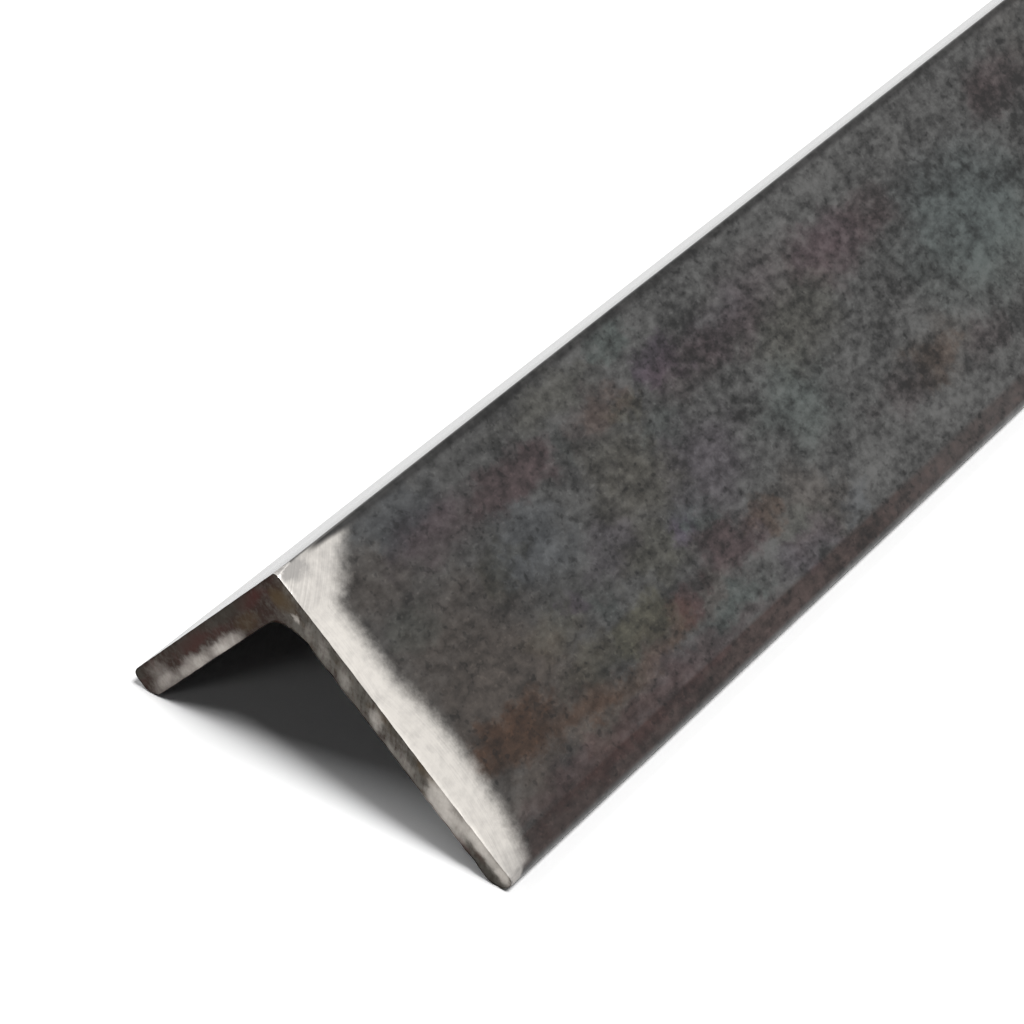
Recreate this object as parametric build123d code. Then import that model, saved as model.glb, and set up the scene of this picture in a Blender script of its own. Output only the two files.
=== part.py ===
from build123d import *
import os
from math import radians, sqrt, tan

# A length of hot-rolled equal-leg steel angle, L 50 x 50 x 5, in millimetres. It lies heel up on
# its toes. The bar runs along Y, with its ground end at -Y. The origin is under the middle of the
# heel, at the height of the floor.
leg_width = 50.0
thickness = 5.0
bar_length = 1000.0

# The rolls leave a wide fillet in the root, a round on the inner edge of each toe and a smaller
# one on its outer edge. The heel is almost sharp.
root_radius = 5.0
toe_radius = 2.5
toe_edge_radius = 1.5
heel_radius = 0.6

# One sawn end is dressed on the outer face of one leg with an angle grinder. Each pass of the disc
# leaves a shallow dish that slopes down inwards from its rim. The middle of each pass is given from
# the heel and from the sawn end, so all of them lie off the end of the bar.
disc_radius = 57.5
disc_slope = 2.0
disc_passes = ((-37.0, -31.2), (14.0, -52.7), (33.0, -51.5))
dish_depth = 1.0

# The disc also touches the corner of the heel and takes that toe's outer edge off. Each nip has its
# depth at the sawn end and the length in which it runs out along the bar.
heel_nip = (0.5, 6.0)
toe_nip = (0.7, 4.0)

# How far the cutting shapes reach past the steel.
overcut = 5.0

sawn_end = -bar_length / 2
heel_height = (leg_width + thickness - 2 * toe_radius) / sqrt(2) + toe_radius
toe_edge_height = heel_height - leg_width / sqrt(2)
toe_edge_reach = leg_width / sqrt(2)


def rolled_section():
    """The angle's section, with its heel at the origin and its legs along +X and +Y."""
    section = make_face(
        Polyline(
            (0, 0),
            (leg_width, 0),
            (leg_width, thickness),
            (thickness, thickness),
            (thickness, leg_width),
            (0, leg_width),
            close=True,
        )
    )
    rounds = [
        ((0, 0), heel_radius),
        ((thickness, thickness), root_radius),
        ((leg_width, 0), toe_edge_radius),
        ((0, leg_width), toe_edge_radius),
        ((leg_width, thickness), toe_radius),
        ((thickness, leg_width), toe_radius),
    ]
    for corner, radius in rounds:
        vertex = section.vertices().sort_by_distance(corner)[0]
        section = fillet(vertex, radius)
    return section


def rolled_bar():
    """The section stood on its toes and drawn out along Y."""
    across_the_bar = Plane(origin=(0, bar_length / 2, heel_height), x_dir=(1, 0, 0), z_dir=(0, -1, 0))
    return extrude(across_the_bar * Rot(Z=-135) * rolled_section(), bar_length)


def disc_dish(middle):
    """The steel that one pass of the disc takes off the outer face of the leg on the +X side."""
    leg_face = Plane(origin=(0, sawn_end, heel_height), x_dir=(1, 0, -1), z_dir=(1, 0, 1))
    run = dish_depth / tan(radians(disc_slope))
    return leg_face * Pos(*middle) * Cone(disc_radius - run, disc_radius + run, 2 * dish_depth)


def corner_nip(edge, outwards, depth, length):
    """A wedge that takes a corner off the sawn end and runs out along the bar."""
    beyond = overcut * depth / length
    wedge = make_face(
        Polyline(
            (-overcut, -depth - beyond),
            (length + overcut, beyond),
            (length + overcut, overcut),
            (-overcut, overcut),
            close=True,
        )
    )
    along_the_bar = Plane(origin=edge, x_dir=(0, 1, 0), z_dir=Vector(0, 1, 0).cross(Vector(*outwards)))
    return extrude(along_the_bar * wedge, overcut, both=True)


def angle_bar():
    """The bar with its dressed end."""
    bar = rolled_bar()
    for middle in disc_passes:
        bar -= disc_dish(middle)
    bar -= corner_nip((0, sawn_end, heel_height), (0, 0, 1), *heel_nip)
    bar -= corner_nip((toe_edge_reach, sawn_end, toe_edge_height), (1, 0, 0), *toe_nip)
    return bar


os.makedirs("parts", exist_ok=True)
export_step(angle_bar(), "parts/angle_bar.step")
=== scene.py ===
import math

import bmesh
import bpy
from mathutils import Matrix, Vector, noise


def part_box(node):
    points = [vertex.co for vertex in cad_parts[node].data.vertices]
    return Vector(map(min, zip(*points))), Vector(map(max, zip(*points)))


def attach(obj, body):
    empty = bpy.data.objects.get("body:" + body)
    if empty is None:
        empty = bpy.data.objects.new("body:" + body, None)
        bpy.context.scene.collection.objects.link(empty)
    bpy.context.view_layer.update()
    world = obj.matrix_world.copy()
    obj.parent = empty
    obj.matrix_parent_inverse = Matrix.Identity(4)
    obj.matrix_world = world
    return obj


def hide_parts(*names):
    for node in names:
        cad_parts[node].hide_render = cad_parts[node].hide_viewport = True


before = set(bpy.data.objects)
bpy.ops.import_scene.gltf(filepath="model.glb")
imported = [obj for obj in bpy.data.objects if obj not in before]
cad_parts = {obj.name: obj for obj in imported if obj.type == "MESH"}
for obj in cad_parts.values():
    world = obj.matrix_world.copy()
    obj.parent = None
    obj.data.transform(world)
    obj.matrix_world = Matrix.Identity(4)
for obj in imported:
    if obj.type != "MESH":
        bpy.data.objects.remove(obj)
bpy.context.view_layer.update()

# THE ROLLED BAR
# One length of hot-rolled equal-leg mild steel angle, lying heel up on its toes. The rolls leave
# the root fillet, the rounded toes and the nearly sharp heel, and the saw leaves square ends. All
# sizes are in metres, down to where the finishes begin.
LEG = 0.050
THICKNESS = 0.005
ROOT_RADIUS = 0.005
TOE_RADIUS = 0.0025
TOE_EDGE_RADIUS = 0.0015
HEEL_RADIUS = 0.0006
# How finely the section is cut along a leg and through it, and the bar in rows along its length:
# how far each stretch of rows reaches from the dressed end, and how many rows it has.
GRID_ALONG_LEG = 0.001
GRID_THROUGH_LEG = 0.0005
ROWS = ((0.016, 40), (0.064, 48), (0.200, 68), (1.000, 100))
SAME_SPOT = 1e-6

bar_low, bar_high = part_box("angle_bar")
sawn_end = bar_low.y
far_end = bar_high.y
heel = Vector((0, sawn_end, (LEG + THICKNESS - 2 * TOE_RADIUS) / math.sqrt(2) + TOE_RADIUS))
down_right = Vector((1, 0, -1)).normalized()
down_left = Vector((-1, 0, -1)).normalized()


def on_section(along_right, along_left):
    """A point of the sawn end, by its distances from the heel along the two legs."""
    return heel + down_right * along_right + down_left * along_left


def cut_lines():
    """Where the section is cut lengthwise: closely through the thickness, wider along the legs."""
    through = round(THICKNESS / GRID_THROUGH_LEG)
    yield from (step * GRID_THROUGH_LEG for step in range(1, through))
    yield from (step * GRID_ALONG_LEG for step in range(round(THICKNESS / GRID_ALONG_LEG),
                                                        round(LEG / GRID_ALONG_LEG)))


def rolled_bar():
    """The closed mesh of the bar as it is rolled, cut off square: the section, drawn out in rows."""
    bar = bmesh.new()
    # Each corner of the section, its radius, and the number of flats that make its round.
    rounds = (
        (on_section(0, 0), HEEL_RADIUS, 3),
        (on_section(LEG, 0), TOE_EDGE_RADIUS, 5),
        (on_section(LEG, THICKNESS), TOE_RADIUS, 6),
        (on_section(THICKNESS, THICKNESS), ROOT_RADIUS, 8),
        (on_section(THICKNESS, LEG), TOE_RADIUS, 6),
        (on_section(0, LEG), TOE_EDGE_RADIUS, 5),
    )
    corners = [bar.verts.new(corner) for corner, radius, segments in rounds]
    bar.faces.new(corners)
    for vertex, (corner, radius, segments) in zip(corners, rounds):
        bmesh.ops.bevel(bar, geom=[vertex], offset=radius, offset_type="OFFSET", segments=segments,
                        profile=0.5, affect="VERTICES", material=-1)
    for direction in (down_right, down_left):
        for reach in cut_lines():
            bmesh.ops.bisect_plane(bar, geom=bar.verts[:] + bar.edges[:] + bar.faces[:],
                                   dist=SAME_SPOT, plane_co=heel + direction * reach,
                                   plane_no=direction)
    far_face = bmesh.ops.duplicate(bar, geom=bar.faces[:])["geom"]
    rim = [edge for edge in bar.edges if edge.is_boundary and edge not in far_face]
    bmesh.ops.translate(bar, vec=(0, far_end - sawn_end, 0),
                        verts=[item for item in far_face if isinstance(item, bmesh.types.BMVert)])
    reached = 0
    for row_end, rows in ROWS:
        for row in range(rows):
            grown = bmesh.ops.extrude_edge_only(bar, edges=rim)["geom"]
            rim = [item for item in grown if isinstance(item, bmesh.types.BMEdge) and item.is_boundary]
            corners = [item for item in grown if isinstance(item, bmesh.types.BMVert)]
            bmesh.ops.translate(bar, vec=(0, (row_end - reached) / rows, 0), verts=corners)
        reached = row_end
    bmesh.ops.remove_doubles(bar, verts=bar.verts[:], dist=SAME_SPOT)
    bmesh.ops.recalc_face_normals(bar, faces=bar.faces[:])
    return bar


bar_mesh = rolled_bar()

# THE DRESSED END
# One end has been cleaned up with an angle grinder. Three passes of the disc leave shallow dishes
# of bright steel on one leg, and a touch of it takes the corner off the heel and off that toe.
DISC_RADIUS = 0.0575
DISC_SLOPE = math.radians(2)
# The middle of the disc on each pass: how far down the leg it lies from the heel, and how far along
# the bar from the sawn end. All three are off the end of the bar.
DISC_PASSES = ((-0.0370, -0.0312), (0.0140, -0.0527), (0.0330, -0.0515))
HEEL_NIP_DEPTH = 0.0005
HEEL_NIP_LENGTH = 0.0060
TOE_NIP_DEPTH = 0.0007
TOE_NIP_LENGTH = 0.0040

# Places in the bar's list of finishes, after the mill scale, which comes first.
END_FINISH = 1
NIP_FINISH = 2
along_bar = Vector((0, 1, 0))
out_right = Vector((1, 0, 1)).normalized()
toe_edge = on_section(LEG, 0)


def nip(bar, edge, outwards, depth, length):
    """Takes the corner off the sawn end, at one long edge, with a flat that runs out along the bar."""
    cut = bmesh.ops.bisect_plane(bar, geom=bar.verts[:] + bar.edges[:] + bar.faces[:], dist=SAME_SPOT,
                                 plane_co=edge - outwards * depth, clear_outer=True,
                                 plane_no=(outwards * length - along_bar * depth).normalized())
    lips = [item for item in cut["geom_cut"] if isinstance(item, bmesh.types.BMEdge)]
    for face in bmesh.ops.holes_fill(bar, edges=lips, sides=0)["faces"]:
        face.material_index = NIP_FINISH


def dish(bar):
    """Sinks the outer face of the right leg where the disc passed, each dish deepest at the end."""
    for vertex in bar.verts:
        from_heel = vertex.co - heel
        down = from_heel.dot(down_right)
        depth = -from_heel.dot(out_right)
        for middle_down, middle_along in DISC_PASSES:
            off_middle = math.hypot(down - middle_down, from_heel.y - middle_along)
            ground_to = (DISC_RADIUS - off_middle) * math.tan(DISC_SLOPE)
            if ground_to > depth:
                vertex.co -= out_right * (ground_to - depth)
                depth = ground_to


nip(bar_mesh, heel, Vector((0, 0, 1)), HEEL_NIP_DEPTH, HEEL_NIP_LENGTH)
nip(bar_mesh, toe_edge, Vector((1, 0, 0)), TOE_NIP_DEPTH, TOE_NIP_LENGTH)
dish(bar_mesh)

# THE SAWN ENDS AND THE ROLLED SKIN
# The blade leaves a fine broken edge round each sawn end, and rough steel within it. The rolled
# faces are a little uneven, as hot steel is, by less than a tenth of a millimetre.
EDGE_BREAK = 0.00012
END_ROUGHNESS = 0.00022
END_GRAIN = 0.0016
SKIN_UNEVENNESS = 0.00009
SKIN_WAVE = 0.012
SKIN_STRETCH = 2.5
# No point is worn by less than this share of the full depth, so all of them lie inside the steel.
LEAST_WEAR = 0.35
# How much the finer layers of the wear fade, how many times finer each is, and how many there are.
WEAR_LAYERS = (1, 2, 3)
# How squarely a sawn face looks along the bar at the least, and a rolled one at the most.
SAWN_FACING = 0.99
ROLLED_FACING = 0.9


def break_end_edges(bar):
    """Marks both sawn ends and draws their rims back, so that no edge stays razor sharp."""
    for end, inwards in ((sawn_end, 1), (far_end, -1)):
        cap = [face for face in bar.faces
               if abs(face.normal.y) > SAWN_FACING
               and abs(face.calc_center_median().y - end) < SAME_SPOT]
        rim = {vertex for face in cap for edge in face.edges
               if any(abs(neighbour.normal.y) < ROLLED_FACING for neighbour in edge.link_faces)
               for vertex in edge.verts}
        ring = bmesh.ops.inset_region(bar, faces=cap, thickness=EDGE_BREAK, use_even_offset=True)
        for face in cap + ring["faces"]:
            face.material_index = END_FINISH
        bmesh.ops.translate(bar, vec=along_bar * inwards * EDGE_BREAK, verts=list(rim))


def worn(spot):
    """How worn the steel is at a spot, as a share of the full depth."""
    return max(0.5 + 0.5 * noise.fractal(spot, *WEAR_LAYERS), LEAST_WEAR)


def wear_surface(bar):
    """Moves every point a little into the steel: softly on the rolled skin, sharply on the ends."""
    bar.normal_update()
    moves = []
    for vertex in bar.verts:
        spot = vertex.co
        sink = SKIN_UNEVENNESS * worn(Vector((spot.x, spot.y / SKIN_STRETCH, spot.z)) / SKIN_WAVE)
        if any(face.material_index == END_FINISH for face in vertex.link_faces):
            sink += END_ROUGHNESS * worn(spot / END_GRAIN)
        moves.append(vertex.normal * sink)
    for vertex, move in zip(bar.verts, moves):
        vertex.co -= move


break_end_edges(bar_mesh)
wear_surface(bar_mesh)

# THE MILL SCALE
# Hot rolling leaves the steel under a dark grey skin of scale, mottled where it is thin or pitted,
# with rust creeping along the bar in bands. The disc has cut through it to bright steel at the end.
MM = 0.001
SCALE_DARK = (0.009, 0.0088, 0.0086, 1)
SCALE_LIGHT = (0.125, 0.124, 0.121, 1)
# The tint that darkens the inner faces: painted shade inside the angle.
INNER_PAINTED_SHADE = (0.40, 0.40, 0.43, 1)
# The painted shade of the line beside the heel.
HEEL_SHADE = (0.36, 0.35, 0.35, 1)
TOE_RUST = (0.62, 0.44, 0.41, 1)
BRIGHT_STEEL = (0.640, 0.608, 0.566, 1)
DULL_STEEL = (0.34, 0.325, 0.31, 1)

# What mottles the scale: the size of the patches in millimetres, how many times longer than wide
# they are, and how much they lighten or darken it.
MOTTLING = ((1.5, 1.2, 1.9), (5.0, 1.3, 1.45), (17, 3.0, 1.0), (0.9, 9, 0.4))
MEAN_TONE = 0.32
DARKEST_TONE, LIGHTEST_TONE = -0.45, 1.35
NEAR_CONTRAST, FAR_CONTRAST = 0.70, 1.32
PIT_SIZE, PIT_DEPTH = 1.0, 0.28
FLECK_SIZE, FLECK_LIGHT = 0.7, 0.22
# Each pair gives where a change begins and where it is complete. The first four are in millimetres:
# from the left leg to the right, from the outer skin to the inner, from even to mottled scale along
# the bar, and to the end of the charted patches. The others are levels of the noise.
TO_RIGHT_LEG = (-0.2, 0.2)
TO_INNER_SKIN = (2.6, 4.4)
TO_FULL_CONTRAST = (0, 85)
TO_CHART_END = (172, 150)
TO_PIT = (0.42, 0.30)
TO_FLECK = (0.60, 0.72)
TO_STAIN = (0.50, 0.75)

# Stained and faded patches of the dressed leg. For each: how far its middle lies along the bar and
# down the leg, its half length and half width, all in millimetres, and its strength.
PALE_PATCHES = ((12, 5, 6, 6, 0.8), (36, 20, 8, 7, 0.35), (86, 27, 16, 9, 0.9), (84, 30, 6, 5, 1.2),
                (78, 41, 30, 5, 1.3), (38, 43, 10, 3.5, 0.8), (60, 2.5, 14, 3, 1.0),
                (108, 29, 7, 5, 1.4), (134, 25, 12, 11, 1.2), (148, 16, 7, 6, 1.1),
                (116, 43, 22, 4, 0.9), (64, 37, 9, 4, 0.3))
DARK_PATCHES = ((16, 20, 15, 18, 0.5), (15, 37, 10, 4, 0.5), (42, 10, 14, 5, 0.5),
                (28, 17.5, 5, 4, 1.3), (50, 15, 8, 6, 1.3), (70, 12, 12, 5, 0.9), (76, 18, 5, 4, 0.6),
                (92, 22.5, 6, 4, 1.9), (109, 22, 8, 4, 0.8), (115, 14, 8, 9, 0.7), (120, 5, 10, 4, 0.7),
                (156, 13, 9, 8, 0.6), (51, 30, 6, 6, 0.25), (106, 33, 12, 7, 0.8),
                (140, 38, 14, 7, 0.4))
BROWN_PATCHES = ((15, 23, 15, 13, 1.0), (9, 9, 8, 6, 0.8), (17, 34, 16, 10, 0.9),
                 (20, 43, 26, 5, 1.0), (75, 39, 9, 7, 0.6), (46, 39, 14, 3, 0.6),
                 (56, 10, 6, 4, 0.4), (52, 20, 9, 9, 0.25), (112, 35, 10, 5, 0.5))
ORANGE_PATCHES = ((14, 36.0, 9, 4.0, 1.4), (25, 39, 8, 2.6, 0.7), (36, 40.5, 12, 2.0, 0.5),
                  (44, 38.5, 4, 2.6, 0.5), (57, 10, 4, 3, 0.3), (68, 36, 3.5, 3, 0.6),
                  (110, 35.5, 7, 3, 0.5))
MAROON_PATCHES = ((38, 10, 9, 4.2, 1.3), (24, 9, 12, 4.5, 0.7), (47, 38, 4, 3, 1.3),
                  (59, 35.5, 9, 4.5, 1.3), (56, 10, 8, 4, 0.35), (73, 13, 9, 5, 0.5),
                  (82, 13, 9, 4, 0.5), (107, 13, 11, 6, 0.9), (118, 12, 6, 5, 0.6),
                  (155, 9.5, 9, 5, 1.0), (30, 45, 34, 3, 0.9), (101, 36, 7, 4, 0.5),
                  (123, 38, 7, 3.5, 0.5), (93, 8, 14, 4, 0.25))
PLUM_PATCHES = ((69, 10, 5.5, 4.2, 1.6), (65, 25, 9, 8, 0.6), (44, 25, 6, 5, 0.5),
                (22, 7, 8, 4, 0.4), (38, 42.5, 8, 2.5, 0.4), (70, 43.5, 8, 3, 0.6),
                (15, 43, 4, 3, 0.4), (86, 12, 14, 5, 0.5), (55.5, 30, 3, 2.5, 1.0),
                (33, 28.5, 3, 2.5, 0.8), (108, 12, 8, 5, 0.4))
OLIVE_PATCHES = ((29, 35.5, 7, 3, 0.7), (38.5, 36, 7, 3.4, 1.3), (27, 18, 5, 4, 0.6),
                 (27, 29, 6, 4, 0.5), (54, 19, 9, 8, 0.5), (48, 30, 6, 5, 0.6),
                 (50, 4.5, 12, 3.5, 0.4), (92, 17, 12, 9, 0.45), (60, 12, 2.5, 2.5, 0.7))
GREEN_PATCHES = ((12, 17.0, 5, 4, 0.8), (64, 3.0, 4.5, 3, 1.2), (55, 42.5, 7, 2.6, 1.0),
                 (60, 30.5, 3.5, 2.5, 0.9), (63, 17, 4, 3, 0.6), (49, 11, 3, 3, 0.5),
                 (84, 27, 10, 8, 0.9), (134, 24, 20, 14, 1.1), (72, 40, 4, 2.5, 0.6),
                 (37, 31, 3, 2.5, 0.6))
BLUE_PATCHES = ((34, 18.5, 8, 7, 0.9), (19, 43, 3, 3, 1.0), (19, 4, 8, 4, 0.7),
                (56.5, 29, 4, 2.5, 0.8), (82, 43, 4, 3, 0.7), (134, 20, 18, 12, 0.4))
# Each kind of stain: its tint, whether it keeps to the rusty bands, and its patches.
STAINS = (
    ((0.95, 0.80, 0.71, 1), False, BROWN_PATCHES),
    ((0.98, 0.60, 0.40, 1), True, ORANGE_PATCHES),
    ((0.87, 0.63, 0.66, 1), True, MAROON_PATCHES),
    ((0.91, 0.76, 0.94, 1), False, PLUM_PATCHES),
    ((1.00, 0.96, 0.74, 1), False, OLIVE_PATCHES),
    ((0.87, 1.00, 0.97, 1), False, GREEN_PATCHES),
    ((0.86, 0.92, 1.00, 1), False, BLUE_PATCHES),
)
PATCH_LIFT = 0.24
# The patches are ragged, because the ruler that they are laid out by is itself wavy. For the ruler
# along the bar and the one down the leg: the size of the waves and their height, in millimetres.
WAVES_ALONG, WAVE_ALONG = 6, 20
WAVES_DOWN, WAVE_DOWN = 4, 9
# Beyond them the stains wander. Some keep to two bands, which lie so far down the leg.
RUSTY_BANDS = (10.5, 36.5)
BAND_REACH = 7
STRAY_SHARE = 0.6
STRAY_SIZE, STRAY_STRETCH = 12, 3
STAIN_STRENGTH, STAIN_GRAIN = 1.45, 0.9
# Rust follows the toe in a thin band, which is stronger near the dressed end.
TO_TOE_BAND = (45.4, 46.6)
TO_TOE_EDGE = (49.6, 48.8)
TOE_BAND_STRENGTH = 0.6
TO_STRONG_BAND, STRONG_BAND = (110, 40), 0.8


class Wire:
    """What one node socket puts out. Arithmetic on it adds Math nodes, and node() adds any other."""

    def __init__(self, tree, socket=None):
        self.tree = tree
        self.socket = socket

    def node(self, kind, sockets, output=0, **settings):
        """A new node, with its settings made first, and then its sockets given values or wires."""
        made = self.tree.nodes.new(kind)
        for name, setting in settings.items():
            setattr(made, name, setting)
        for name, feed in sockets.items():
            if isinstance(feed, Wire):
                self.tree.links.new(feed.socket, made.inputs[name])
            else:
                made.inputs[name].default_value = feed
        return Wire(self.tree, made.outputs[output] if made.outputs else None)

    def maths(self, operation, *feeds):
        return self.node("ShaderNodeMath", dict(enumerate(feeds)), operation=operation)

    def __add__(self, other):
        return self.maths("ADD", self, other)

    def __sub__(self, other):
        return self.maths("SUBTRACT", self, other)

    def __rsub__(self, other):
        return self.maths("SUBTRACT", other, self)

    def __mul__(self, other):
        return self.maths("MULTIPLY", self, other)

    def __truediv__(self, other):
        return self.maths("DIVIDE", self, other)

    def __rtruediv__(self, other):
        return self.maths("DIVIDE", other, self)

    __radd__ = __add__
    __rmul__ = __mul__

    def size(self):
        return self.maths("ABSOLUTE", self)

    def larger(self, other):
        return self.maths("MAXIMUM", self, other)

    def root(self):
        return self.maths("SQRT", self.larger(0))

    def swing(self, reach):
        """This wire, whose values average one half, moved to average nought and scaled by a reach."""
        return (self - 0.5) * reach

    def rise(self, low, high):
        """0 below low and 1 above high, with an even curve between. Falls where low is the higher."""
        return self.node("ShaderNodeMapRange", {"Value": self, "From Min": low, "From Max": high},
                         interpolation_type="SMOOTHSTEP")

    def fade(self, middle, reach):
        """1 at the middle and 0 beyond its reach on either side."""
        return (self - middle).size().rise(reach, 0)

    # A Mix node's socket 0 is its factor, 6 and 7 are its two colours, and 2 gives the mixed one.
    def blend(self, clear, full):
        """A colour that goes from clear to full as this wire goes from 0 to 1."""
        return self.node("ShaderNodeMix", {0: self, 6: clear, 7: full}, output=2, data_type="RGBA")

    def tint(self, colour, stain):
        """A colour that this wire, as it goes from 0 to 1, multiplies by a stain."""
        return self.node("ShaderNodeMix", {0: self, 6: colour, 7: stain}, output=2, data_type="RGBA",
                         blend_type="MULTIPLY")

    def axes(self):
        """The three parts of a place: across, along and up the bar."""
        parts = self.node("ShaderNodeSeparateXYZ", {0: self})
        return [Wire(self.tree, socket) for socket in parts.socket.node.outputs]

    def drawn_out(self, times):
        """This place on a surface whose patterns are some times longer along the bar than across."""
        return self.node("ShaderNodeVectorMath", {0: self, 1: (1, 1 / times, 1)},
                         operation="MULTIPLY")

    def cloud(self, grain, detail=2.0, roughness=0.5, seed=0.0):
        """Noise at this place, whose patches are about as wide as grain. It averages one half."""
        return self.node("ShaderNodeTexNoise", {"Vector": self, "W": seed, "Scale": 1 / grain,
                                                "Detail": detail, "Roughness": roughness},
                         noise_dimensions="4D")

    def bump(self, strength, height):
        """The surface's normal, as this relief tilts it. Its height is in metres."""
        return self.node("ShaderNodeBump", {"Height": self, "Strength": strength, "Distance": height})


def new_finish(name):
    """A fresh material, its shader, and a wire that gives the place on the bar in millimetres."""
    finish = bpy.data.materials.new(name)
    finish.use_nodes = True
    shader = finish.node_tree.nodes["Principled BSDF"]
    place = Wire(finish.node_tree).node("ShaderNodeTexCoord", {}, output="Object")
    place = place.node("ShaderNodeVectorMath", {0: place, "Scale": 1 / MM}, operation="SCALE")
    return finish, shader, place


def set_shader(shader, **constants):
    """Sets the shader's own sockets, whose names are written here with underscores for spaces."""
    for name, constant in constants.items():
        shader.inputs[name.replace("_", " ")].default_value = constant


def feed_shader(finish, shader, **feeds):
    """Joins wires to the shader's sockets, named in the same way."""
    for name, feed in feeds.items():
        finish.node_tree.links.new(feed.socket, shader.inputs[name.replace("_", " ")])


def leg_ruler(place):
    """Distances in millimetres: along from the dressed end, down a leg from the heel, deep into it."""
    across, along, up = place.axes()
    below_heel = heel.z / MM - up
    down = (below_heel + across.size()) / math.sqrt(2)
    deep = (below_heel - across.size()) / math.sqrt(2)
    return across, along - sawn_end / MM, down, deep


# A patch is measured by the square of the distance from its middle, with its rim at 1. This is
# where it begins and where it would be full, so it nearly is at its middle.
TO_FULL_PATCH = (1.25, -0.2)


def soft_ovals(along, down, patches):
    """The patches added up. Each is a soft oval, which is gone just beyond its rim."""
    added = 0.0
    for middle_along, middle_down, half_length, half_width, strength in patches:
        off_along = (along - middle_along) / half_length
        off_down = (down - middle_down) / half_width
        spot = (off_along * off_along + off_down * off_down).rise(*TO_FULL_PATCH)
        added = spot * strength + added
    return added


def mottled_grey(place, along, lift):
    """The colour of the scale, lighter where it is lifted, and its grain."""
    contrast = along.rise(*TO_FULL_CONTRAST) * (FAR_CONTRAST - NEAR_CONTRAST) + NEAR_CONTRAST
    grain = None
    tone = MEAN_TONE
    for seed, (size, stretch, strength) in enumerate(MOTTLING):
        layer = place.drawn_out(stretch).cloud(size, detail=3.5, roughness=0.6, seed=seed)
        grain = grain or layer
        tone = layer.swing(strength) * contrast + tone
    pits = place.cloud(PIT_SIZE, detail=1, seed=11).rise(*TO_PIT)
    flecks = place.cloud(FLECK_SIZE, detail=1, seed=12).rise(*TO_FLECK)
    tone = tone - pits * PIT_DEPTH + flecks * FLECK_LIGHT + lift
    return tone.rise(DARKEST_TONE, LIGHTEST_TONE).blend(SCALE_DARK, SCALE_LIGHT), grain


def stained(colour, place, down, charted, chart, grain):
    """The colour under its stains: those of the chart where it holds, and stray ones elsewhere."""
    bands = sum(down.fade(band, BAND_REACH) for band in RUSTY_BANDS)
    thickness = STAIN_STRENGTH - grain * STAIN_GRAIN
    for seed, (tint, banded, patches) in enumerate(STAINS):
        stray = place.drawn_out(STRAY_STRETCH)
        stray = stray.cloud(STRAY_SIZE, detail=3, roughness=0.6, seed=seed + 2).rise(*TO_STAIN)
        stray = stray * (bands if banded else STRAY_SHARE)
        stain = stray + charted * (soft_ovals(*chart, patches) - stray)
        colour = (stain * thickness).tint(colour, tint)
    return colour


# The disc leaves a bright strip with a ragged edge: the size of the rags and how far they reach, in
# millimetres. The edge is soft as well: how far inside the rim of the dishes the strip begins and is
# full. It is on the outer face only, and reaches further at the heel and in a bulge below it.
RAG_SIZE, RAG_REACH = 1.1, 2.2
TO_GROUND = (-1.5, 2.3)
TO_OUTER_FACE = (1.7, 1.3)
TO_HEEL, HEEL_REACH = (2.4, 0.6), 0.8
BULGE_MIDDLE, BULGE_HALF_WIDTH, BULGE_REACH = 7, 3, 0.5
# It ends at the toe, a little later right at the sawn end, and that edge is less ragged.
TO_ABOVE_TOE = (49.4, 48.4)
TO_SAWN_END, END_ADVANCE = (3, 0.5), 2
TOE_RAG = 0.3
# A dark line of painted shade, for the rounded heel turned from the light, runs beside the heel. It
# begins behind the nipped corner, and it is narrower where it passes the strip.
TO_HEEL_LINE = (1.7, 0.8)
TO_LINE_BEGUN = (4.5, 8.5)
TO_NARROW_LINE, LINE_NARROWING = (14, 8), 0.5
# What dulls the strip: smears, scratches along the disc's path, its heel and toe ends, and two
# smears beside the nipped corner, given as the patches are.
SMEAR_SIZE, SMEAR_FREE, SMEAR_DULL = 1.5, 0.43, 1.2
SCRATCHES_ACROSS, SCRATCHES_ALONG, SCRATCH_DULL = 5, 0.12, 0.6
TO_DULL_HEEL, HEEL_DULL = (12, 2), 0.40
TO_DULL_TOE, TOE_DULL = (43, 50), 0.6
HEEL_SMEARS = ((1.4, 0.6, 3.4, 1.5, 0.8), (2.8, 1.7, 2.0, 1.5, 0.5))
SMEAR_RAG = 0.5


def disc_bite(along, down):
    """How far inside the rim of the nearest dish of the disc a place lies, in millimetres."""
    bite = None
    for middle_down, middle_along in DISC_PASSES:
        off_down = down - middle_down / MM
        off_along = along - middle_along / MM
        reach = DISC_RADIUS / MM - (off_down * off_down + off_along * off_along).root()
        bite = reach if bite is None else bite.larger(reach)
    return bite


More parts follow.
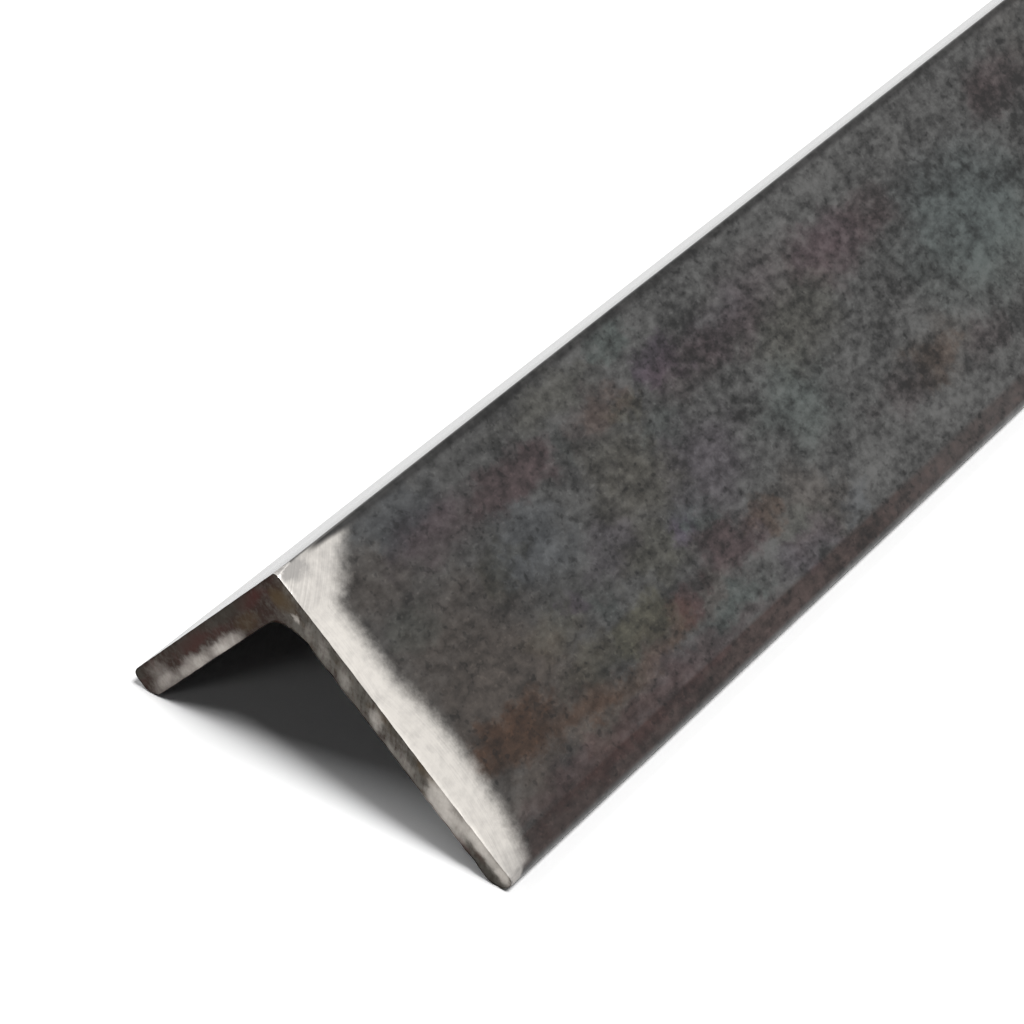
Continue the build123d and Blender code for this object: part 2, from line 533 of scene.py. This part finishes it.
def ground_strip(place, on_right, along, down, deep):
    """Where the strip and the painted shade beside the heel are, and the colour and scratches of the
    strip.
    """
    rag = place.cloud(RAG_SIZE, detail=4, roughness=0.7, seed=5).swing(RAG_REACH)
    heel_shade_line = (down + along.rise(*TO_NARROW_LINE) * LINE_NARROWING).rise(*TO_HEEL_LINE)
    heel_shade_line = heel_shade_line * on_right * along.rise(*TO_LINE_BEGUN)
    bite = disc_bite(along, down)
    ground = bite + rag + down.rise(*TO_HEEL) * HEEL_REACH
    ground = ground + down.fade(BULGE_MIDDLE, BULGE_HALF_WIDTH) * BULGE_REACH
    ground = ground.rise(*TO_GROUND) * on_right * deep.rise(*TO_OUTER_FACE)
    above_toe = (down + rag * TOE_RAG - along.rise(*TO_SAWN_END) * END_ADVANCE).rise(*TO_ABOVE_TOE)
    ground = ground * (1 - heel_shade_line) * above_toe

    scratches = place.node("ShaderNodeCombineXYZ", {0: bite * SCRATCHES_ACROSS,
                                                    1: down * SCRATCHES_ALONG})
    scratches = scratches.cloud(1, detail=2, seed=8)
    smears = place.cloud(SMEAR_SIZE, detail=3, roughness=0.6, seed=9)
    dull = (smears - SMEAR_FREE) * SMEAR_DULL + scratches.swing(SCRATCH_DULL)
    dull = dull + down.rise(*TO_DULL_HEEL) * HEEL_DULL + down.rise(*TO_DULL_TOE) * TOE_DULL
    dull = dull + soft_ovals(along + rag, down + rag * SMEAR_RAG, HEEL_SMEARS)
    return ground, heel_shade_line, dull.blend(BRIGHT_STEEL, DULL_STEEL), scratches


# The scale has an even gloss on the right leg, and one that grows from the heel down on the left.
# It is dull and rough inside. The ground strip is bare steel, and nearly flat.
TO_LEFT_GLOSS, LEFT_GLOSS_GAIN = (0, 25), 0.2
LEFT_HEEL_GLOSS, RIGHT_GLOSS = 0.75, 0.9
SCALE_ROUGHNESS, GRAIN_ROUGHNESS, INNER_ROUGHNESS = 0.42, 0.4, 0.4
GROUND_ROUGHNESS = 0.36
POCK_SIZE, GRAIN_RELIEF, SCRATCH_RELIEF = 0.7, 0.6, 0.3
GROUND_FLATNESS = 0.9
SCALE_RELIEF = 0.06 * MM


def mill_scale():
    finish, shader, place = new_finish("mill_scale")
    across, along, down, deep = leg_ruler(place)
    on_right = across.rise(*TO_RIGHT_LEG)
    inside = deep.rise(*TO_INNER_SKIN)
    charted = on_right * (1 - inside) * along.rise(*TO_CHART_END)
    chart = (along + place.cloud(WAVES_ALONG, detail=4, roughness=0.65, seed=21).swing(WAVE_ALONG),
             down + place.cloud(WAVES_DOWN, detail=4, roughness=0.65, seed=33).swing(WAVE_DOWN))

    lift = soft_ovals(*chart, PALE_PATCHES) - soft_ovals(*chart, DARK_PATCHES)
    colour, grain = mottled_grey(place, along, lift * charted * PATCH_LIFT)
    colour = stained(colour, place, down, charted, chart, grain)
    # The inner faces are darkened with painted shade.
    colour = inside.tint(colour, INNER_PAINTED_SHADE)
    toe_band = down.rise(*TO_TOE_BAND) * down.rise(*TO_TOE_EDGE) * (1 - inside)
    stronger = along.rise(*TO_STRONG_BAND).swing(charted) * STRONG_BAND
    colour = (toe_band * (TOE_BAND_STRENGTH + grain + stronger)).tint(colour, TOE_RUST)
    ground, heel_shade_line, steel, scratches = ground_strip(place, on_right, along, down, deep)
    # The line beside the heel is darkened with painted shade.
    colour = heel_shade_line.tint(ground.blend(colour, steel), HEEL_SHADE)

    gloss = down.rise(*TO_LEFT_GLOSS) * LEFT_GLOSS_GAIN + LEFT_HEEL_GLOSS
    gloss = gloss + on_right * (RIGHT_GLOSS - gloss)
    roughness = SCALE_ROUGHNESS + grain.swing(GRAIN_ROUGHNESS) + inside * INNER_ROUGHNESS
    roughness = roughness + ground * (GROUND_ROUGHNESS - roughness)
    relief = place.cloud(POCK_SIZE, detail=3, seed=4) * (1 - ground * GROUND_FLATNESS)
    relief = relief + grain * GRAIN_RELIEF + ground * scratches * SCRATCH_RELIEF
    set_shader(shader, IOR=1.3, Coat_IOR=1.25, Coat_Roughness=0.12)
    feed_shader(finish, shader, Base_Color=colour, Roughness=roughness, Metallic=ground,
                Coat_Weight=(1 - ground) * (1 - inside) * gloss,
                Normal=relief.bump(strength=0.5, height=SCALE_RELIEF))
    return finish


# THE SAWN STEEL
# The saw has left the ends dull, and they have gone brown and olive since. Rubbing has burnished
# them in spots, and the dressed leg's end is scuffed pale towards its toe.
SAWN_BROWN = (0.052, 0.032, 0.026, 1)
SAWN_MAROON = (0.085, 0.032, 0.028, 1)
SAWN_OLIVE = (0.115, 0.078, 0.042, 1)
SAWN_GREY = (0.175, 0.162, 0.142, 1)
SAWN_BLACK = (0.060, 0.055, 0.045, 1)
BURNISHED = (0.50, 0.465, 0.425, 1)
# How much of the grey comes through the brown: on the right leg, by the saw's marks, in blotches
# and by the grain.
RIGHT_GREY, SAW_GREY, BLOTCH_GREY, GRAIN_GREY = 0.7, 3.8, 0.7, 1.9
BLOTCH_SIZE, BLOTCH_FREE = 3.2, 0.3
# The marks of the saw lean. They are fine across the leg and long through its thickness.
SAW_LEAN = 0.5
MARKS_DOWN, MARKS_DEEP = 1.1, 0.3
# Stray maroon on the left leg and olive on the right.
STRAY_SPOT, STRAY_STRENGTH = 2.4, 0.5
TO_STRAY = (0.52, 0.72)
# Rust and rubbing differ from leg to leg, and only the dressed end has charted patches of them.
# Their ruler is wavy, as the scale's is.
TO_RIGHT_END = (-2.5, 4)
TO_DRESSED_END = (20, 10)
WAVES_DEEP, WAVE_DEEP = 0.9, 1.6
WAVES_ON_END, WAVE_ON_END = 1.6, 2.4
BLACK_STRENGTH = 0.8
# Rubbing has caught the high grains and the saw's marks most. It leaves the steel bare and smoother.
RUB_STRENGTH, RUB_GRAIN, RUB_MARKS = 0.4, 0.7, 0.6
TO_BARE = (0.0, 0.6)
SAWN_ROUGHNESS, RUBBED_SMOOTHER = 0.62, 0.25
SAWN_GRAIN = 0.9
MARKS_RELIEF = 0.8
SAWN_RELIEF = 0.10 * MM

# The patches of the sawn end on each leg: how far down the leg from the heel and how deep under
# its outer face the middle lies, the half length and half width in millimetres, and the strength.
LEFT_BURNISHED = ((22.0, 4.4, 5.5, 1.7, 0.62), (28, 4.4, 6, 1.8, 0.40), (34, 4.2, 5, 2.0, 0.50),
                  (43.3, 2.4, 3.8, 2.2, 0.26), (42.5, 4.4, 7.5, 1.8, 0.36))
LEFT_MAROON = ((10, 1.0, 5, 1.3, 0.8), (30, 1.4, 6, 1.4, 1.0), (22, 2.2, 4, 1.0, 0.4))
LEFT_OLIVE = ((3.5, 3.4, 2.4, 2.2, 1.0), (14, 3.3, 4, 1.6, 0.5))
LEFT_BLACK = ((49.3, 0.4, 3.0, 1.7, 1.0), (18, 0.6, 9, 1.5, 0.9), (32, 0.8, 8, 1.5, 0.6))
RIGHT_BURNISHED = (
    (5.9, 3.4, 0.6, 0.8, 0.7), (8.6, 3.0, 0.9, 1.8, 0.20), (11.6, 2.6, 1.3, 2.2, 0.26),
    (16.2, 3.0, 1.5, 2.3, 0.32), (22.6, 2.8, 1.6, 2.3, 0.48), (26.2, 4.4, 1.4, 1.3, 0.25),
    (29.2, 3.6, 2.2, 1.6, 0.28), (35.6, 3.2, 3.4, 4.4, 0.75), (39.6, 3.6, 3.0, 2.6, 0.5),
    (40.5, 0.9, 7, 2.4, 0.45), (45.0, 1.2, 5.0, 2.0, 0.60), (49.2, 1.2, 1.8, 1.6, 0.6),
)
RIGHT_MAROON = ((41.5, 4.6, 2.0, 1.0, 0.8), (44.6, 3.2, 1.6, 0.8, 0.6))
RIGHT_OLIVE = ((3.5, 2.6, 3.0, 2.4, 0.7), (32.5, 1.0, 3.0, 1.4, 0.7), (24.5, 1.0, 3.0, 1.2, 0.4))
RIGHT_BLACK = ((46.6, 4.5, 4.6, 2.3, 1.0), (42.2, 5.0, 2.2, 0.8, 0.6), (26, 1.0, 2.0, 0.9, 0.7),
               (29.8, 1.6, 1.4, 1.2, 0.6), (13.6, 1.4, 1.4, 1.0, 0.6), (7.2, 1.4, 1.4, 1.2, 0.5),
               (19.6, 2.2, 1.4, 2.0, 0.5), (32.6, 2.2, 0.9, 2.0, 0.6))


def sawn_steel():
    finish, shader, place = new_finish("sawn_steel")
    across, along, down, deep = leg_ruler(place)
    on_right = across.rise(*TO_RIGHT_END)
    dressed = along.rise(*TO_DRESSED_END)
    wavy_deep = deep + place.cloud(WAVES_DEEP, detail=3, roughness=0.6, seed=2).swing(WAVE_DEEP)
    wavy_down = down + place.cloud(WAVES_ON_END, detail=3, roughness=0.6, seed=3).swing(WAVE_ON_END)
    leaning = wavy_down - (wavy_deep - THICKNESS / MM / 2) * SAW_LEAN * on_right

    grain = place.cloud(SAWN_GRAIN, detail=4, roughness=0.65)
    blotch = place.cloud(BLOTCH_SIZE, detail=3, seed=6)
    marks = place.node("ShaderNodeCombineXYZ", {0: (down - deep * SAW_LEAN) * MARKS_DOWN,
                                                1: deep * MARKS_DEEP})
    marks = marks.cloud(1, detail=4, roughness=0.65, seed=7)

    def on_both(left_patches, right_patches):
        left = soft_ovals(wavy_down, wavy_deep, left_patches)
        right = soft_ovals(leaning, wavy_deep, right_patches)
        return (left + on_right * (right - left)) * dressed

    greyness = on_right * (RIGHT_GREY + marks.swing(SAW_GREY)) + (blotch - BLOTCH_FREE) * BLOTCH_GREY
    colour = (greyness + grain.swing(GRAIN_GREY)).blend(SAWN_BROWN, SAWN_GREY)
    stray = place.cloud(STRAY_SPOT, detail=3, roughness=0.6, seed=9).rise(*TO_STRAY) * STRAY_STRENGTH
    colour = (on_both(LEFT_MAROON, RIGHT_MAROON) + stray * (1 - on_right)).blend(colour, SAWN_MAROON)
    colour = (on_both(LEFT_OLIVE, RIGHT_OLIVE) + stray * on_right).blend(colour, SAWN_OLIVE)
    black = on_both(LEFT_BLACK, RIGHT_BLACK) * BLACK_STRENGTH
    rubbed = on_both(LEFT_BURNISHED, RIGHT_BURNISHED)
    rubbed = rubbed * (RUB_STRENGTH + grain * RUB_GRAIN + marks * RUB_MARKS) * (1 - black)
    colour = rubbed.blend(black.blend(colour, SAWN_BLACK), BURNISHED)

    relief = grain + marks * MARKS_RELIEF
    set_shader(shader, IOR=1.1)
    feed_shader(finish, shader, Base_Color=colour, Roughness=SAWN_ROUGHNESS - rubbed * RUBBED_SMOOTHER,
                Metallic=rubbed.rise(*TO_BARE), Normal=relief.bump(strength=0.6, height=SAWN_RELIEF))
    return finish


# THE NIPPED CORNERS
# Where the disc has taken the corners off the heel and the toe, the steel is bare, but it is duller
# and more smeared than in the dishes, because the disc only touched it.
NIP_GREY = (0.24, 0.23, 0.22, 1)
NIP_BRIGHT = (0.46, 0.44, 0.42, 1)
NIP_SMEAR_SIZE = 1.3
TO_NIP_BRIGHT = (0.36, 0.64)
NIP_ROUGHNESS, SMEAR_ROUGHNESS = 0.36, 0.2
NIP_GRAIN = 0.4
NIP_RELIEF = 0.03 * MM


def nipped_steel():
    finish, shader, place = new_finish("nipped_steel")
    smears = place.cloud(NIP_SMEAR_SIZE, detail=4, roughness=0.65, seed=3)
    colour = smears.rise(*TO_NIP_BRIGHT).blend(NIP_GREY, NIP_BRIGHT)
    relief = place.cloud(NIP_GRAIN, detail=2)
    set_shader(shader, Metallic=1)
    feed_shader(finish, shader, Base_Color=colour, Roughness=NIP_ROUGHNESS + smears * SMEAR_ROUGHNESS,
                Normal=relief.bump(strength=0.4, height=NIP_RELIEF))
    return finish


# THE FINISHED BAR
# The bar is one piece of steel, with scale on its rolled faces, bare steel on its sawn ends and in
# the nips, and sharp edges where those meet.
SHARPEST_SMOOTH = math.radians(34)

mesh = bpy.data.meshes.new("rolled_bar")
bar_mesh.to_mesh(mesh)
bar_mesh.free()
mesh.shade_smooth()
mesh.set_sharp_from_angle(angle=SHARPEST_SMOOTH)
for finish in (mill_scale(), sawn_steel(), nipped_steel()):
    mesh.materials.append(finish)
rolled = bpy.data.objects.new("rolled_bar", mesh)
bpy.context.collection.objects.link(rolled)
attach(rolled, "root")
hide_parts("angle_bar")

# THE PAPER
# The bar lies on a wide, flat sheet of matt white paper, far larger than itself. The camera sees
# the paper a little brighter than it is, so that it is pure white wherever no shadow falls on it.
PAPER_RADIUS = 12
PAPER_SIDES = 64
PAPER_WHITE = (1, 1, 1, 1)
PAPER_LIT = (1.21, 1.21, 1.21, 1)

paper_mesh = bmesh.new()
bmesh.ops.create_circle(paper_mesh, cap_ends=True, segments=PAPER_SIDES, radius=PAPER_RADIUS)
mesh = bpy.data.meshes.new("paper")
paper_mesh.to_mesh(mesh)
paper_mesh.free()
finish = bpy.data.materials.new("white_paper")
finish.use_nodes = True
finish.node_tree.nodes.clear()
to_camera = Wire(finish.node_tree).node("ShaderNodeLightPath", {}, output="Is Camera Ray")
white = to_camera.blend(PAPER_WHITE, PAPER_LIT)
matt = white.node("ShaderNodeBsdfDiffuse", {"Color": white})
matt.node("ShaderNodeOutputMaterial", {"Surface": matt})
mesh.materials.append(finish)
paper = bpy.data.objects.new("paper", mesh)
bpy.context.collection.objects.link(paper)

# THE LIGHT
# A soft lamp high on the right, a fainter one high on the left and a faint low one in front. The
# white room all round gives little light, so that the shadows stay, but it looks white to the
# camera and in what the steel mirrors.

# For each lamp: where it shines from, its brightness, and how wide it looks.
LAMPS = (
    (Vector((0.54, 0, 1)), 0.85, math.radians(17)),
    (Vector((-0.61, -0.14, 1)), 0.235, math.radians(23)),
    (Vector((-0.15, -1.50, 1)), 0.032, math.radians(16)),
)
ROOM_LIGHT = 0.03
ROOM_WHITE = 1.0

for shines_from, brightness, width in LAMPS:
    lamp_light = bpy.data.lights.new("soft_lamp", "SUN")
    lamp_light.energy = brightness * math.pi
    lamp_light.angle = width
    lamp = bpy.data.objects.new("soft_lamp", lamp_light)
    lamp.rotation_euler = shines_from.to_track_quat("Z", "Y").to_euler()
    bpy.context.collection.objects.link(lamp)

room = bpy.data.worlds.new("white_room")
bpy.context.scene.world = room
room.use_nodes = True
room.node_tree.nodes.clear()
room.cycles.sampling_method = "NONE"
ray = Wire(room.node_tree)
seen = ray.node("ShaderNodeLightPath", {}, output="Is Camera Ray")
mirrored = ray.node("ShaderNodeLightPath", {}, output="Is Glossy Ray")
strength = ROOM_LIGHT + seen.larger(mirrored) * (ROOM_WHITE - ROOM_LIGHT)
walls = strength.node("ShaderNodeBackground", {"Strength": strength})
walls.node("ShaderNodeOutputWorld", {"Surface": walls})

# THE CAMERA
# It looks down on the dressed end from the right, with the heel running away to the upper right.
# Its target and distance are given in leg widths, and its focal length in pixels of a frame.
FRAME_WIDTH = 1024
SENSOR_WIDTH = 36
TURN, TILT, ROLL = 0.77868, 0.67963, -0.12124
TARGET = Vector((0.85719, 0, 0.58599))
DISTANCE = 6.32371
FOCAL_PIXELS = 2851.30

towards = Vector((math.sin(TURN) * math.cos(TILT), -math.cos(TURN) * math.cos(TILT), math.sin(TILT)))
level = Vector((0, 0, 1)).cross(towards).normalized()
upright = towards.cross(level)
rolled_level = level * math.cos(ROLL) + upright * math.sin(ROLL)
rolled_upright = upright * math.cos(ROLL) - level * math.sin(ROLL)
view = bpy.data.cameras.new("camera")
view.sensor_width = SENSOR_WIDTH
view.lens = FOCAL_PIXELS / FRAME_WIDTH * SENSOR_WIDTH
camera = bpy.data.objects.new("camera", view)
turned = Matrix((rolled_level, rolled_upright, towards)).transposed().to_4x4()
camera.matrix_world = Matrix.Translation(heel + (TARGET + towards * DISTANCE) * LEG) @ turned
bpy.context.collection.objects.link(camera)
bpy.context.scene.camera = camera
bpy.context.scene.view_settings.view_transform = "Standard"
